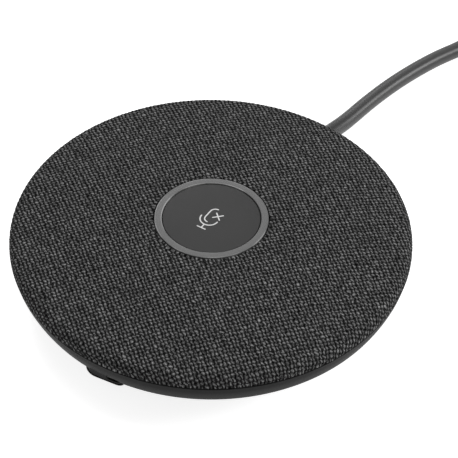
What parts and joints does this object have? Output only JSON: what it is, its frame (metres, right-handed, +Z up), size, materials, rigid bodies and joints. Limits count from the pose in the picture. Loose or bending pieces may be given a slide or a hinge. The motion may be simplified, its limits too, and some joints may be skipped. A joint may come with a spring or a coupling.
{
  "type": "conference speakerphone",
  "caption": "Round low table speakerphone with a domed woven cover, a lit mute key in the middle, a front socket and a captive cable with its plug.",
  "frame": {"origin": "on the table under the middle of the round body", "axes": "+Z up through the mute key, +Y towards the cable's exit, -Y towards the socket"},
  "size_m": [0.1384, 0.2744, 0.0276],
  "materials": {
    "fabric": "two-tone melange weave",
    "casing": "fine moulded texture",
    "foot": "matte",
    "key": "fine matte",
    "ring": "satin, translucent",
    "black_plastic": "moulded",
    "white_plastic": "moulded",
    "rubber": "moulded",
    "sheath": "smooth satin",
    "bright_steel": "drawn",
    "grey_metal": "plated",
    "board": "solder mask",
    "chip": "moulded",
    "cone": "pressed",
    "copper": "wound wire"
  },
  "bodies": {
    "housing": {"amplifier_chip": "chip", "audio_processor": "chip", "board_link": "black_plastic", "board_screw_1": "bright_steel", "board_screw_2": "bright_steel", "board_screw_3": "bright_steel", "bottom_housing": "casing", "cable": "sheath", "cable_coil": "sheath", "cable_end": "sheath", "cable_header": "white_plastic", "cable_relief": "rubber", "cable_tail": "sheath", "cable_tie_1": "rubber", "cable_tie_2": "rubber", "fabric_cover": "fabric", "floor_weight": "grey_metal", "foot_ring": "foot", "housing_screw_1": "bright_steel", "housing_screw_2": "bright_steel", "housing_screw_3": "bright_steel", "housing_screw_4": "bright_steel", "key_board": "board", "key_frame": "black_plastic", "key_return_pad": "rubber", "light_ring": "ring", "main_board": "board", "microphone_1": "grey_metal", "microphone_2": "grey_metal", "microphone_3": "grey_metal", "microphone_4": "grey_metal", "microphone_cup_1": "rubber", "microphone_cup_2": "rubber", "microphone_cup_3": "rubber", "microphone_cup_4": "rubber", "plug_contacts": "black_plastic", "plug_grip": "black_plastic", "plug_relief": "rubber", "plug_shell": "bright_steel", "port_bezel": "black_plastic", "port_board": "board", "port_contacts": "black_plastic", "port_shell": "bright_steel", "power_chip": "chip", "rim_band": "casing", "ring_led_1": "white_plastic", "ring_led_2": "white_plastic", "ring_led_3": "white_plastic", "ring_led_4": "white_plastic", "ring_led_5": "white_plastic", "ring_led_6": "white_plastic", "speaker_frame": "black_plastic", "speaker_gasket": "rubber", "speaker_magnet": "grey_metal", "switch_body": "black_plastic", "top_plate": "casing"},
    "mute_key": {"mute_key": "key"},
    "switch_plunger": {"switch_plunger": "white_plastic"},
    "speaker_cone": {"speaker_cone": "cone", "voice_coil": "copper"}
  },
  "joints": [
    {"name": "key_press", "type": "slide", "parent": "housing", "child": "mute_key", "axis": [0, 0, -1], "range_m": [0, 0.0005], "stiffness_N_per_m": 4500, "springref_m": -0.0001, "deforming": ["key_return_pad"]},
    {"name": "plunger_press", "type": "slide", "parent": "housing", "child": "switch_plunger", "axis": [0, 0, -1], "range_m": [0, 0.0005], "stiffness_N_per_m": 0.8, "springref_m": -0.0001},
    {"name": "cone_travel", "type": "slide", "parent": "housing", "child": "speaker_cone", "axis": [0, 0, 1], "range_m": [-0.0003, 0.0003], "stiffness_N_per_m": 1500}
  ],
  "couplings": [
    {"joint": "plunger_press", "follows": "key_press", "ratio": 1}
  ]
}
